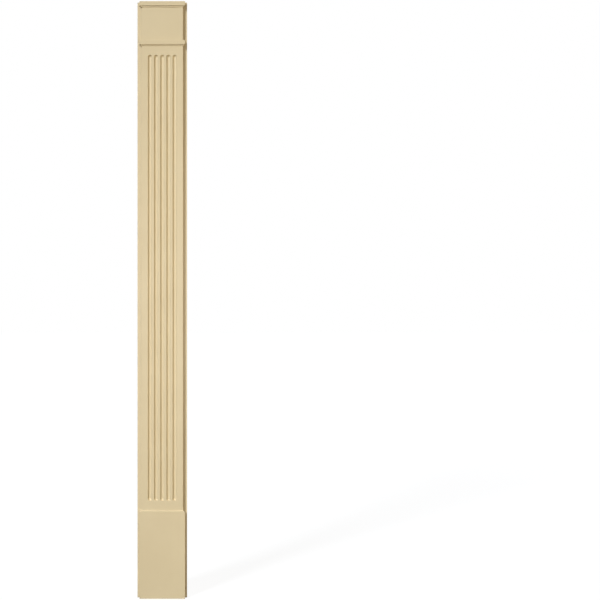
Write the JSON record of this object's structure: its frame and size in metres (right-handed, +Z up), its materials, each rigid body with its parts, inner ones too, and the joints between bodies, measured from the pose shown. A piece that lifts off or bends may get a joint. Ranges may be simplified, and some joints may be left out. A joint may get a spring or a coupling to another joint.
{
  "type": "fluted pilaster",
  "caption": "Tall flat wall pilaster with a fluted shaft on a flat flange, a plain tall base and square mouldings at the head.",
  "frame": {"origin": "middle of the flat back face, which lies against the wall", "axes": "+Z up along the shaft, +X across the face, the moulded face looks along -Y and the back along +Y"},
  "size_m": [0.2286, 0.0508, 2.7432],
  "materials": {
    "tan_coat": "smooth satin-matte factory coat in pale tan over moulded polyurethane"
  },
  "bodies": {
    "root": {"pilaster": "tan_coat"}
  },
  "joints": []
}
